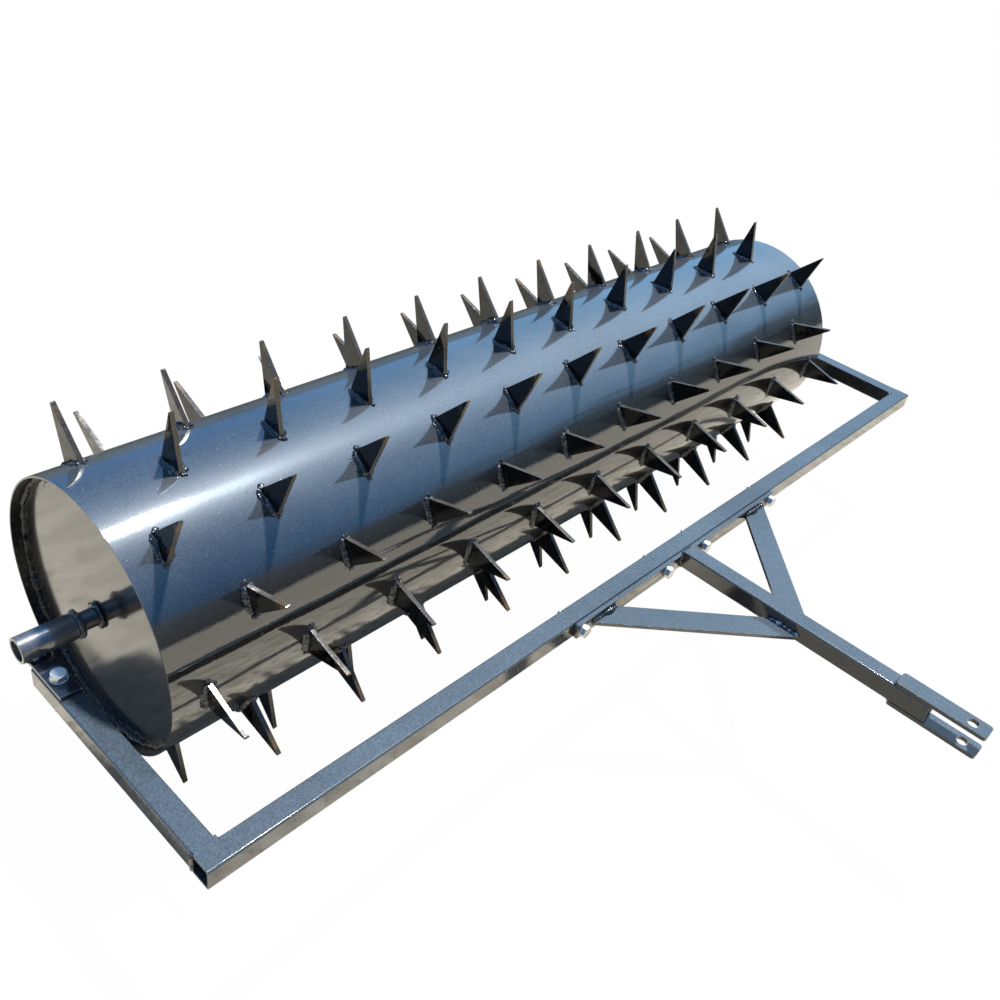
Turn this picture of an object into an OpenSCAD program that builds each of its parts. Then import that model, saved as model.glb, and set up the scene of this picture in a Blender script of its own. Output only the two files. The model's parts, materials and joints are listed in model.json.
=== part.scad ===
// Tow-behind spike drum aerator.
// A rolled steel drum studded with twelve rows of welded plate spikes turns
// on a through axle. The axle runs in bushed sleeves carried by a U-shaped
// square-tube frame, and a bolted, braced drawbar ends in a drilled clevis.
//
// Origin: centre of the hitch pin hole, midway between the clevis straps.
// +X runs parallel to the axle, -Y points to the tow vehicle, +Z is up.
// Front is -Y. Left pieces are on the -X side, right pieces on the +X side.
// Lengths below are worked out from the axle axis, then moved to that origin
// by placed().

/* [Drum] */
// Outside diameter of the drum shell
drum_d = 290.4; // [270:0.1:310]
// Length of the drum shell along the axle
drum_w = 1219.2; // [1200:0.1:1225]
// Sheet thickness of the drum shell
shell_t = 2; // [1.5:0.1:3]
// Thickness of the round end plates
end_plate_t = 4.8; // [3:0.1:8]
// Depth of each end plate inside the drum rim
end_recess = 12.7; // [8:0.1:20]

/* [Spikes] */
// Number of spike rows around the drum
rows = 12; // [12]
// Spikes in a long row (short rows have one fewer, half a pitch over)
row_long = 11; // [9:1:11]
// Distance between neighbouring spikes in a row
spike_pitch = 114.3; // [100:0.1:115]
// Height of a spike above the drum
spike_h = 59.8; // [40:0.1:65]
// Width of a spike at its base
spike_base = 30.5; // [24:0.1:36]
// Width of the blunt tip
spike_tip = 2; // [2:0.1:6]
// Plate thickness of a spike
spike_t = 5; // [3:0.1:8]
// Rest angle of the first spike row, forward from straight up
drum_phase = 2.3; // [-5:0.1:5]
// Largest twist of a hand-set spike about its own height
spike_twist = 6; // [0:0.5:10]
// Largest lean of a hand-set spike off square
spike_lean = 1.6; // [0:0.1:3]

/* [Axle and sleeves] */
// Axle diameter
axle_d = 19.05; // [18:0.01:19.1]
// Radial running clearance of the axle in its bushes
run_clear = 0.05; // [0.03:0.01:0.09]
// Outside diameter of the axle sleeves
sleeve_d = 26.7; // [26:0.05:28]
// Bore of the axle sleeves, which is also the outside of the bushes
sleeve_bore = 20.9; // [20.5:0.05:22]
// Distance between the outer ends of the two sleeves
sleeve_span = 1353.2; // [1350:0.1:1360]
// Length of a sleeve
sleeve_l = 54; // [52:0.5:56]
// Length of a bush
bush_l = 42; // [36:0.5:43]
// Outside diameter of the thrust collars
collar_d = 28; // [26:0.5:32]
// Thickness of the thrust collars
collar_t = 5; // [4:0.1:6]

/* [Frame] */
// Side of the square frame tube
tube = 23; // [22:0.1:25.4]
// Wall of the square tube
tube_t = 2; // [1.6:0.1:2.2]
// Outside corner radius of the square tube
tube_r = 2.2; // [2.2:0.1:3]
// Overall width of the frame across the side rails
frame_w = 1343; // [1340:0.1:1348]
// Distance from the axle to the front face of the front beam
beam_reach = 291; // [275:0.5:310]
// Distance from the axle axis down to the top of the rails
rail_drop = 15.9; // [15:0.1:17]

/* [Sleeve plates] */
// Distance from the axle to the front edge of a sleeve plate
plate_l = 64.6; // [60:0.1:80]
// Width of a sleeve plate
plate_w = 21; // [19:0.1:22]
// Thickness of a sleeve plate
plate_t = 4.8; // [4:0.1:6]
// Distance from the axle to the plate bolt
plate_bolt_y = 42.7; // [40:0.1:48]

/* [Hitch] */
// Length of the mount bar bolted across the front beam
bar_l = 428; // [425:1:480]
// Height of the mount bar
bar_h = 20; // [18:0.1:21]
// Thickness of the mount bar
bar_t = 5.5; // [5:0.1:8]
// Spacing of the inner pair of mount bolts
bolt_in = 82; // [80:0.5:90]
// Spacing of the outer pair of mount bolts
bolt_out = 407; // [400:0.5:410]
// Distance from the axle to the cut front end of the drawbar
draw_reach = 615.4; // [600:0.1:640]
// Height of the drawbar top above the frame top
draw_rise = 3.8; // [0:0.1:5]
// Width of the flat brace bars
brace_w = 30; // [25:0.5:35]
// Thickness of the flat brace bars
brace_t = 4.8; // [4:0.1:6]
// Where a brace meets the mount bar, measured from the centre
brace_out = 164.5; // [150:0.5:170]
// Where a brace meets the drawbar, measured from the axle
brace_fwd = 442.5; // [430:0.5:480]

/* [Clevis] */
// Rear end of the clevis straps, measured from the axle
strap_rear = 573.5; // [560:0.5:590]
// Front end of the clevis straps, measured from the axle
strap_front = 674.5; // [670:0.5:690]
// Thickness of the clevis straps
strap_t = 4.8; // [4:0.1:6]
// Corner radius of the clevis straps
strap_r = 4; // [2:0.5:6]
// Distance from the axle to the hitch pin hole
pin_y = 655.9; // [650:0.1:658]
// Diameter of the hitch pin hole
pin_d = 12.7; // [10:0.1:14]

/* [Fasteners] */
// Diameter of the plate bolts
bolt_d = 9.5; // [8:0.1:9.6]
// Clearance hole for the plate bolts
bolt_hole = 10.3; // [10:0.1:11]
// Plate bolt hexagon size across the flats
hex_af = 14.3; // [13:0.1:15]
// Height of a plate bolt head
head_h = 6.2; // [5:0.1:7]
// Height of a plate bolt nut
nut_h = 8.2; // [6:0.1:8.5]
// Outside diameter of a plate bolt washer
washer_d = 17; // [16.6:0.1:20]
// Diameter of the mount bolts
mount_d = 7.9; // [7:0.1:8]
// Clearance hole for the mount bolts
mount_hole = 8.7; // [8.4:0.1:9.4]
// Mount bolt hexagon size across the flats
mount_af = 12.7; // [12:0.1:14]
// Height of a mount bolt head
mount_head = 5.3; // [4:0.1:6]
// Height of a mount bolt nut
mount_nut = 6.7; // [6:0.1:7]
// Outside diameter of a mount bolt washer
mount_washer = 15.5; // [15:0.1:18]
// Thickness of a flat washer
washer_t = 1.6; // [1.2:0.1:2]

/* [Hidden] */
$fn = 64;

left = -1;
right = 1;
cut = 1;                                 // overshoot of a cutting solid

// Drum and spikes
drum_r = drum_d / 2;
drum_bore = drum_d - 2 * shell_t;
row_step = 360 / rows;
spike_root = 4;                          // blank below the drum top, before coping
foot_h = 1.5;                            // height of the steep foot of a spike
foot_inset = 0.4;                        // narrowing of each edge over the foot
tip_bevel = 0.8;                         // bevel on the tip corners

// Axle and sleeves
sleeve_out = sleeve_span / 2;            // outer end of a sleeve
sleeve_in = sleeve_out - sleeve_l;       // inner end of a sleeve
axle_inset = 10;                         // axle end inside the sleeve mouth
axle_bevel = 1;
end_float = 1;                           // space between thrust collar and sleeve

// Frame
frame_top = -rail_drop;                  // top of rails and beam
tube_mid = frame_top - tube / 2;         // mid-height of the frame tube
tube_inner_r = 0.6;                      // inside corner radius of the tube
rail_x = frame_w / 2 - tube / 2;         // centre line of a side rail
rail_rear = -12.2;                       // rear end of the side rails
plate_rear = -5;                         // plate edge under the sleeve
beam_y = -beam_reach;                    // front face of the beam

// Hitch
bar_y = beam_y - bar_t;                  // front face of the mount bar
bar_r = 5;                               // corner radius of the mount bar
draw_top = frame_top + draw_rise;        // top of the drawbar
draw_mid = draw_top - tube / 2;
brace_top = draw_mid - 2.8;              // top of the brace bars

// Fasteners
shank_bevel = 1;                         // bevel at the end of a shank
thread_clear = 0.1;                      // nut bore over bolt diameter
lock_d = 16.6;                           // outside diameter of a lock washer
lock_t = 2.4;                            // thickness of a lock washer
lock_slot = 1.2;                         // width of the split in a lock washer
plate_bolt_past = 3;                     // bolt end beyond its nut
mount_bolt_past = 6;                     // bolt end behind the beam

black = [0.07, 0.08, 0.09];
zinc = [0.80, 0.81, 0.83];
steel = [0.45, 0.46, 0.48];
bronze = [0.66, 0.47, 0.26];

// ---- placing ----

// Moves work laid out about the axle axis to the hitch pin origin
module placed() {
    translate([0, pin_y, -draw_mid]) children();
}

// Mirrors work laid out on the right to the left side when asked
module on_side(side) {
    mirror([side < 0 ? 1 : 0, 0, 0]) children();
}

// Puts its children at each plate bolt, on the top of the sleeve plates
module at_plate_bolts() {
    for (side = [left, right])
        translate([side * rail_x, -plate_bolt_y, frame_top + plate_t]) children();
}

// Hangs its children under the rails at each plate bolt, their +Z down
module under_rails(drop = 0) {
    at_plate_bolts() translate([0, 0, -plate_t - tube - drop])
        rotate([180, 0, 0]) children();
}

// Puts its children at each mount bolt, +Z of the child facing the tow vehicle
module at_mount_bolts() {
    for (x = [-bolt_out / 2, -bolt_in / 2, bolt_in / 2, bolt_out / 2])
        translate([x, bar_y, tube_mid]) rotate([90, 0, 0]) children();
}

// ---- shared shapes ----

// Repeatable scatter from -1 to 1 for hand-set pieces
function scatter(seed) = sin(137.5 * seed + 90 * sin(47 * seed));

// Cylinder along X between two stations
module rod_x(x0, x1, d, facets = 96) {
    translate([x0, 0, 0]) rotate([0, 90, 0]) cylinder(h = x1 - x0, d = d, $fn = facets);
}

// Hollow cylinder along X
module pipe_x(x0, x1, d, bore, facets = 96) {
    difference() {
        rod_x(x0, x1, d, facets);
        rod_x(x0 - cut, x1 + cut, bore, facets);
    }
}

// Cutter for a hole through a piece that stands from z = 0 to its depth
module hole_cutter(depth, d, facets = 48) {
    translate([0, 0, -cut]) cylinder(h = depth + 2 * cut, d = d, $fn = facets);
}

// Rectangle with true arcs at its four corners, centred
module round_rect(width, height, radius) {
    square([width - 2 * radius, height], center = true);
    square([width, height - 2 * radius], center = true);
    for (i = [-1, 1], j = [-1, 1])
        translate([i * (width / 2 - radius), j * (height / 2 - radius)])
            circle(r = radius, $fn = 32);
}

// Square-tube cross-section
module tube_section() {
    inside = tube - 2 * tube_t;
    difference() {
        round_rect(tube, tube, tube_r);
        round_rect(inside, inside, tube_inner_r);
    }
}

// Hexagonal bolt along +Z, seated on z = 0 with its shank below
module hex_bolt(shank_l, d, flats, height) {
    corners = flats / cos(30);
    flat_r = flats * 0.48;               // radius of the flat on top of the head
    bevel_slope = 0.577;
    intersection() {
        cylinder(h = height, d = corners, $fn = 6);
        // cone that bevels the corners of the head
        rotate_extrude($fn = 64)
            polygon([[0, 0], [corners, 0],
                     [corners, height - (corners - flat_r) * bevel_slope],
                     [flat_r, height], [0, height]]);
    }
    translate([0, 0, -shank_l]) {
        translate([0, 0, shank_bevel]) cylinder(h = shank_l - shank_bevel, d = d, $fn = 48);
        cylinder(h = shank_bevel, d1 = d - 2 * shank_bevel, d2 = d, $fn = 48);
    }
}

// Hexagonal nut, standing up from z = 0
module hex_nut(d, flats, height) {
    difference() {
        cylinder(h = height, d = flats / cos(30), $fn = 6);
        hole_cutter(height, d + thread_clear);
    }
}

// Flat washer, standing up from z = 0
module washer(d, hole) {
    difference() {
        cylinder(h = washer_t, d = d, $fn = 64);
        hole_cutter(washer_t, hole);
    }
}

// Split spring lock washer, standing up from z = 0
module lock_washer() {
    difference() {
        cylinder(h = lock_t, d = lock_d, $fn = 64);
        translate([0, 0, -cut]) cylinder(h = 5, d = bolt_hole, $fn = 48);
        // tilted slot through one side of the ring
        rotate([0, 25, 0]) translate([4, -lock_slot / 2, -3]) cube([8, lock_slot, 10]);
    }
}

// ---- drum ----

module drum_shell() {
    color(black) placed() pipe_x(-drum_w / 2, drum_w / 2, drum_d, drum_bore, 180);
}

module end_plate(side) {
    outer = drum_w / 2 - end_recess;
    color(black) placed() on_side(side)
        pipe_x(outer - end_plate_t, outer, drum_bore, axle_d, 180);
}

// Through axle with bevelled ends just inside the open mouths of the sleeves
module axle() {
    half_l = sleeve_out - axle_inset;
    radius = axle_d / 2;
    color(steel) placed() rotate([0, 90, 0]) rotate_extrude($fn = 96)
        polygon([[0, -half_l], [radius - axle_bevel, -half_l],
                 [radius, -half_l + axle_bevel], [radius, half_l - axle_bevel],
                 [radius - axle_bevel, half_l], [0, half_l]]);
}

module thrust_collar(side) {
    outer = sleeve_in - end_float;
    color(black) placed() on_side(side) pipe_x(outer - collar_t, outer, collar_d, axle_d);
}

// Flat pointed plate, square to the axle, with z = 0 at the top of the drum
module spike_blank() {
    base = spike_base / 2;
    tip = spike_tip / 2;
    rotate([90, 0, 90]) linear_extrude(height = spike_t, center = true)
        polygon([[-base, -spike_root], [base, -spike_root],
                 [base - foot_inset, foot_h],
                 [tip, spike_h - tip_bevel], [tip - tip_bevel, spike_h],
                 [-tip + tip_bevel, spike_h], [-tip, spike_h - tip_bevel],
                 [-base + foot_inset, foot_h]]);
}

// One row of spikes. Rows count from 0 here, and odd counts are the long rows.
// The seeds give each spike its own small lean and twist.
module spike_row(row) {
    count = (row % 2 == 1) ? row_long : row_long - 1;
    color(black) placed() rotate([drum_phase + row_step * row, 0, 0]) difference() {
        for (k = [0 : count - 1])
            translate([(k - (count - 1) / 2) * spike_pitch, 0, drum_r])
                rotate([spike_lean * scatter(7 * row + 3 * k + 1),
                        spike_lean * scatter(5 * row + 11 * k + 2),
                        spike_twist * scatter(13 * row + 5 * k)])
                    spike_blank();
        // foot coped to the drum
        rod_x(-drum_w / 2 - cut, drum_w / 2 + cut, drum_d, 180);
    }
}

// ---- running gear ----

module axle_sleeve(side) {
    color(black) placed() on_side(side)
        pipe_x(sleeve_in, sleeve_out, sleeve_d, sleeve_bore);
}

module axle_bush(side) {
    color(bronze) placed() on_side(side)
        pipe_x(sleeve_in, sleeve_in + bush_l, sleeve_bore, axle_d + 2 * run_clear);
}

// Flat plate on top of the rail, its rear edge coped to the sleeve
module sleeve_plate(side) {
    color(black) placed() on_side(side) difference() {
        translate([rail_x - plate_w / 2, -plate_l, frame_top])
            cube([plate_w, plate_l + plate_rear, plate_t]);
        rod_x(sleeve_in - cut, sleeve_out + cut, sleeve_d);
        translate([rail_x, -plate_bolt_y, frame_top]) hole_cutter(plate_t, bolt_hole);
    }
}

// ---- frame ----

// Square tube from under the sleeve to the rear face of the front beam
module side_rail(side) {
    color(black) placed() on_side(side) difference() {
        translate([rail_x, rail_rear, tube_mid]) rotate([90, 0, 0])
            linear_extrude(height = beam_reach - tube + rail_rear) tube_section();
        translate([rail_x, -plate_bolt_y, tube_mid - tube])
            cylinder(h = 2 * tube, d = bolt_hole, $fn = 48);
    }
}

module front_beam() {
    color(black) placed() difference() {
        translate([-frame_w / 2, beam_y + tube / 2, tube_mid]) rotate([90, 0, 90])
            linear_extrude(height = frame_w) tube_section();
        at_mount_bolts() translate([0, 0, -bar_t - tube - 2 * cut])
            cylinder(h = tube + bar_t + 3 * cut, d = mount_hole, $fn = 48);
    }
}

module plate_bolts() {
    shank_l = washer_t + plate_t + tube + lock_t + nut_h + plate_bolt_past;
    color(zinc) placed() at_plate_bolts() translate([0, 0, washer_t])
        hex_bolt(shank_l, bolt_d, hex_af, head_h);
}

module plate_washers() {
    color(zinc) placed() at_plate_bolts() washer(washer_d, bolt_hole);
}

module plate_lock_washers() {
    color(zinc) placed() under_rails() lock_washer();
}

module plate_nuts() {
    color(zinc) placed() under_rails(lock_t) hex_nut(bolt_d, hex_af, nut_h);
}

// ---- hitch ----

module mount_bar() {
    color(black) placed() difference() {
        translate([0, beam_y, tube_mid]) rotate([90, 0, 0])
            linear_extrude(height = bar_t) round_rect(bar_l, bar_h, bar_r);
        at_mount_bolts() translate([0, 0, -bar_t]) hole_cutter(bar_t, mount_hole);
    }
}

// Square tube forward from the front face of the mount bar
module drawbar_tube() {
    color(black) placed() translate([0, bar_y, draw_mid]) rotate([90, 0, 0])
        linear_extrude(height = draw_reach + bar_y) tube_section();
}

// Flat bar from the mount bar to the side of the drawbar, ends cut to meet both
module brace(side) {
    rear = [brace_out, bar_y];
    front = [tube / 2, -brace_fwd];
    run = front - rear;
    spare = 60;                          // extra bar at each end before trimming
    trim_front = 100;                    // trim area ahead of the front point
    trim_w = 400;                        // width of the trim area
    color(black) placed() translate([0, 0, brace_top - brace_t])
        linear_extrude(height = brace_t) on_side(side) intersection() {
            translate(rear) rotate(atan2(run.y, run.x)) translate([-spare, -brace_w / 2])
                square([norm(run) + 2 * spare, brace_w]);
            translate([front.x, front.y - trim_front])
                square([trim_w, rear.y - front.y + trim_front]);
        }
}

// Drilled strap lying flat, its underside at the given height
module clevis_strap(underside) {
    color(black) placed() difference() {
        translate([0, -(strap_front + strap_rear) / 2, underside])
            linear_extrude(height = strap_t)
                round_rect(tube, strap_front - strap_rear, strap_r);
        translate([0, -pin_y, underside]) hole_cutter(strap_t, pin_d, 64);
    }
}

module mount_bolts() {
    color(zinc) placed() at_mount_bolts() translate([0, 0, washer_t])
        hex_bolt(washer_t + bar_t + tube + mount_bolt_past, mount_d, mount_af, mount_head);
}

module mount_washers() {
    color(zinc) placed() at_mount_bolts() washer(mount_washer, mount_hole);
}

// Captive nuts welded inside the beam against its rear wall
module mount_nuts() {
    color(zinc) placed() at_mount_bolts() translate([0, 0, -bar_t - tube + tube_t])
        hex_nut(mount_d, mount_af, mount_nut);
}

drum_shell();
end_plate(left);  // end_plate_left
end_plate(right);  // end_plate_right
axle();
thrust_collar(left);  // thrust_collar_left
thrust_collar(right);  // thrust_collar_right
spike_row(0);  // spike_row_01
spike_row(1);  // spike_row_02
spike_row(2);  // spike_row_03
spike_row(3);  // spike_row_04
spike_row(4);  // spike_row_05
spike_row(5);  // spike_row_06
spike_row(6);  // spike_row_07
spike_row(7);  // spike_row_08
spike_row(8);  // spike_row_09
spike_row(9);  // spike_row_10
spike_row(10);  // spike_row_11
spike_row(11);  // spike_row_12
axle_sleeve(left);  // axle_sleeve_left
axle_sleeve(right);  // axle_sleeve_right
axle_bush(left);  // axle_bush_left
axle_bush(right);  // axle_bush_right
sleeve_plate(left);  // sleeve_plate_left
sleeve_plate(right);  // sleeve_plate_right
side_rail(left);  // side_rail_left
side_rail(right);  // side_rail_right
front_beam();
plate_bolts();
plate_washers();
plate_lock_washers();
plate_nuts();
mount_bar();
drawbar_tube();
brace(left);  // brace_left
brace(right);  // brace_right
clevis_strap(draw_top);  // clevis_strap_top
clevis_strap(draw_top - tube - strap_t);  // clevis_strap_bottom
mount_bolts();
mount_washers();
mount_nuts();
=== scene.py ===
"""A spiked drum in a frame with a drawbar: gloss-black paint, hand-laid welds, zinc fasteners.

The drum turns about x, with -x left and +x right. The front beam and the hitch
lie towards -y, and +z is up. All lengths are in metres.
"""

import json
import math
from collections import namedtuple

import bpy
import bmesh
import numpy as np
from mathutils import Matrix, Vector


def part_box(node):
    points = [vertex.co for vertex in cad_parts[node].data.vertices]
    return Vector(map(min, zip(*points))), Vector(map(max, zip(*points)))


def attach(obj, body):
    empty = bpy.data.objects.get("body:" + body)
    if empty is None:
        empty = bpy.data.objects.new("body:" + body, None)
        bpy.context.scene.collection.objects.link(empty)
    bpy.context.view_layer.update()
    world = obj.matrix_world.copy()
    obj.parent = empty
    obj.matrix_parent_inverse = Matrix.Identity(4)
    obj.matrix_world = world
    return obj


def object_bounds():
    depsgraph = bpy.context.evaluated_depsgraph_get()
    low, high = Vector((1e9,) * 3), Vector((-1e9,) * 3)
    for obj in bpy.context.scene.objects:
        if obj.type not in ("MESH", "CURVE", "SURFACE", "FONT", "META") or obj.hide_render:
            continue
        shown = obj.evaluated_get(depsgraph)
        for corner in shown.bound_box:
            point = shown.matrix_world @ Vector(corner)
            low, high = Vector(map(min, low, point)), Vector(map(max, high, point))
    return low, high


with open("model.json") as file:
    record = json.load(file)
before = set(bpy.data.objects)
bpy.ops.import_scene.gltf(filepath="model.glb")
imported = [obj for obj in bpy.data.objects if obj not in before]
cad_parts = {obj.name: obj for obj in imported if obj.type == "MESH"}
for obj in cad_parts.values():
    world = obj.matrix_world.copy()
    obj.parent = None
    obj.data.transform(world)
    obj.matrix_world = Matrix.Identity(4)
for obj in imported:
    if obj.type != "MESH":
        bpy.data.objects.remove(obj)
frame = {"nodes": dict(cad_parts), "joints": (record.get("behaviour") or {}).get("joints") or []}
CAD_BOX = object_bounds()
NODES = frame["nodes"]
AXIS = np.array(frame["joints"][0]["pos_m"], float)    # a point on the drum's axis
TIP_RADIUS = float(CAD_BOX[1][2]) - AXIS[2]            # out to the spike points
SIDES = ((-1, "left"), (1, "right"))
SPIKE_ROWS = 12

SUN_DIR = Vector((0.345, 0.10, 0.92)).normalized()     # towards the key light
GLOW_DIR = Vector((0.37, 0.075, 0.92)).normalized()    # towards the glow in reflections
SUN_COLOR = (1.0, 0.975, 0.93)
SUN_STRENGTH = 4.6
SUN_ANGLE = math.radians(3.5)

CAMERA_OFFSET = Vector((-0.92624, -0.69095, 0.703765))  # from the axis point
CAMERA_TURN = (0.942682, -0.152863, -0.821271)
CAMERA_LENS_MM = 36.0
FLOOR_HALF = 16
FLOOR_DROP = 0.0004                                    # floor below the lowest CAD point

JOIN_DISTANCE = 2e-6
BEVEL_ANGLE = math.radians(28)
BEVEL_DEFAULT = 0.00025
# Bevel width by the start of the piece's name.
BEVEL_WIDTHS = {
    "spike_row": 0.00060, "sleeve_plate": 0.0005, "mount_bar": 0.0006, "brace": 0.0005,
    "clevis": 0.0006, "axle_sleeve": 0.0004, "thrust_collar": 0.0006, "drum_shell": 0.0003,
    "plate_bolts": 0.0002, "mount_bolts": 0.0002, "plate_washers": 0.0002,
    "mount_washers": 0.0002,
}


# ----------------------------------------------------------- measuring the CAD

def box_of(node):
    low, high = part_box(node)
    return np.array(low, float), np.array(high, float)


def radius_of(node):
    """Radius of a round piece lying along x."""
    low, high = box_of(node)
    return (high[2] - low[2]) / 2


def inner_outer(node, side):
    """x of a piece's faces towards and away from the middle."""
    low, high = box_of(node)
    return (low[0], high[0]) if side > 0 else (high[0], low[0])


def vertices_of(node):
    mesh = NODES[node].data
    points = np.zeros(len(mesh.vertices) * 3)
    mesh.vertices.foreach_get("co", points)
    return points.reshape(-1, 3)


def loose_parts(node):
    """Vertex arrays of the loose parts of a mesh."""
    points = vertices_of(node)
    rounded = np.round(points * 1e6).astype(np.int64)
    key = np.unique(rounded, axis=0, return_inverse=True)[1].ravel()
    parent = list(range(key.max() + 1))

    def find(i):
        while parent[i] != i:
            parent[i] = parent[parent[i]]
            i = parent[i]
        return i

    for polygon in NODES[node].data.polygons:
        ids = [find(key[v]) for v in polygon.vertices]
        for i in ids[1:]:
            parent[find(i)] = find(ids[0])
    root = np.array([find(k) for k in key])
    return [points[root == r] for r in np.unique(root)]


# --------------------------------------------------------------- mesh building

def new_mesh(name, verts, faces, smooth=True):
    mesh = bpy.data.meshes.new(name)
    mesh.from_pydata([tuple(map(float, v)) for v in verts], [], faces)
    mesh.update()
    ob = bpy.data.objects.new(name, mesh)
    bpy.context.scene.collection.objects.link(ob)
    if smooth:
        mesh.polygons.foreach_set("use_smooth", [True] * len(mesh.polygons))
    return ob


def unit(v):
    v = np.asarray(v, float)
    return v / (np.linalg.norm(v) + 1e-15)


class Soup:
    """Collects many small closed shells into one mesh."""

    def __init__(self):
        self.verts = []
        self.faces = []
        self.count = 0

    def add(self, verts, faces):
        self.verts.append(np.asarray(verts, float))
        self.faces.extend([tuple(int(i) + self.count for i in f) for f in faces])
        self.count += len(verts)

    def finish(self, name, material, body="frame"):
        """Builds the mesh and hands it to the body it moves with."""
        ob = new_mesh(name, np.concatenate(self.verts), self.faces)
        ob.data.materials.append(material)
        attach(ob, body)


def around(angle):
    """Direction out from the drum's axis; the angle runs from the top to the hitch."""
    return np.array([0, -math.sin(angle), math.cos(angle)])


def from_axis(x, radius, outward):
    return np.array([x, AXIS[1], AXIS[2]]) + outward * radius


def line(start, end, count=24):
    t = np.linspace(0, 1, count)[:, None]
    return np.asarray(start, float) * (1 - t) + np.asarray(end, float) * t


def tube_faces(rows, ring, closed):
    faces = []
    for i in range(rows if closed else rows - 1):
        a, b = i * ring, (i + 1) % rows * ring
        for j in range(ring):
            k = (j + 1) % ring
            faces.append((a + j, a + k, b + k, b + j))
    return faces


def bead(soup, path, out, radius, seed, pitch, lift, wobble, puddle, closed=False, ring=10):
    """Weld bead along a path: a tube whose radius steps like stacked weld puddles.

    out: the direction the bead stands proud in, one or one per point.
    pitch: length of one puddle. lift: tube centre off the path, in radii.
    wobble: slow change of radius. puddle: depth of the steps between puddles.
    """
    rng = np.random.default_rng(seed)
    path = np.asarray(path, float)
    out = np.asarray(out, float)
    if out.ndim == 1:
        out = np.repeat(out[None], len(path), 0)
    if closed:
        path = np.vstack([path, path[:1]])
        out = np.vstack([out, out[:1]])
    steps = np.linalg.norm(np.diff(path, axis=0), axis=1)
    puddles = max(4, int(round(steps.sum() / pitch)))

    # Even samples, three to a puddle
    marks = np.concatenate([[0], np.cumsum(steps)])
    total = marks[-1]
    dist = np.linspace(0, total, puddles * 3 + 1)
    if closed:
        dist = dist[:-1]
    spine = np.stack([np.interp(dist, marks, path[:, k]) for k in range(3)], 1)
    proud = np.stack([np.interp(dist, marks, out[:, k]) for k in range(3)], 1)

    # Square axes across the bead
    if closed:
        tangent = np.roll(spine, -1, 0) - np.roll(spine, 1, 0)
    else:
        tangent = np.gradient(spine, axis=0)
    tangent /= np.linalg.norm(tangent, axis=1)[:, None] + 1e-12
    proud = proud - (proud * tangent).sum(1)[:, None] * tangent
    proud /= np.linalg.norm(proud, axis=1)[:, None] + 1e-12
    across = np.cross(tangent, proud)

    # Slow drift: row 0 drives the radius, row 1 the sideways wander; row 2 is spare
    count = max(3, int(total / 0.011))
    knots = rng.normal(0, 1, (3, count))
    t = dist / total * count
    before = np.floor(t).astype(int) % count
    blend = t - np.floor(t)
    blend = blend * blend * (3 - 2 * blend)
    after = (before + 1) % count if closed else np.minimum(before + 1, count - 1)
    slow = knots[:, before] * (1 - blend) + knots[:, after] * blend

    # Puddle steps, bowed forward over the crown
    jitter = rng.normal(0, 1, puddles + 3)
    theta = 2 * np.pi * np.arange(ring) / ring
    u = (dist[:, None] + 0.35 * radius * np.cos(theta)[None]) / total * puddles
    cell = np.floor(u).astype(int) % puddles
    phase = u - np.floor(u)
    swell = np.sin(np.pi * np.clip(0.12 + 0.88 * phase, 0, 1)) ** 0.55
    radii = radius * (1 - puddle * (1 - swell)) * (1 + 0.07 * jitter[cell])
    radii = radii * (1 + wobble * slow[0])[:, None]
    if not closed:
        # Round off the two ends
        a = np.clip(np.minimum(dist, total - dist) / (1.05 * radius), 0, 1)
        radii = radii * np.maximum(0.12, np.sqrt(1 - (1 - a) ** 2))[:, None]

    centre = spine + proud * (radius * lift) + across * (radius * 0.16 * slow[1])[:, None]
    verts = (centre[:, None] + proud[:, None] * (radii * np.cos(theta))[..., None]
             + across[:, None] * (radii * np.sin(theta))[..., None])
    verts = verts.reshape(-1, 3)
    rows = len(spine)
    faces = tube_faces(rows, ring, closed)
    if not closed:
        verts = np.vstack([verts, centre[:1], centre[-1:]])
        first, last = len(verts) - 2, len(verts) - 1
        for j in range(ring):
            k = (j + 1) % ring
            faces.append((first, k, j))
            faces.append((last, (rows - 1) * ring + j, (rows - 1) * ring + k))
    soup.add(verts, faces)


def ring_bead(soup, x, path_radius, points, lean, **options):
    """Closed bead round the drum's axis; lean: how it stands proud, (outward, along x)."""
    t = np.linspace(0, 2 * math.pi, points, endpoint=False)
    outward = np.stack([np.zeros(points), -np.sin(t), np.cos(t)], 1)
    out = outward * lean[0] + np.array([lean[1], 0, 0])
    bead(soup, from_axis(x, path_radius, outward), out, closed=True, **options)


def unit_ball(subdivisions):
    bm = bmesh.new()
    bmesh.ops.create_icosphere(bm, subdivisions=subdivisions, radius=1.0)
    verts = np.array([v.co[:] for v in bm.verts])
    faces = [tuple(v.index for v in face.verts) for face in bm.faces]
    bm.free()
    return verts, faces


BALLS = {1: unit_ball(1), 2: unit_ball(2)}


def blob(soup, centre, radius, rng, normal, squash, detail=2, rough=0.08):
    """Lumpy ball; squash is the part of its height kept along the normal."""
    verts, faces = BALLS[detail]
    verts = verts * (1 + rough * rng.normal(0, 1, (len(verts), 1))) * radius
    n = unit(normal)
    verts = verts - (verts @ n)[:, None] * n * (1 - squash)
    soup.add(verts + np.asarray(centre), faces)


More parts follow.
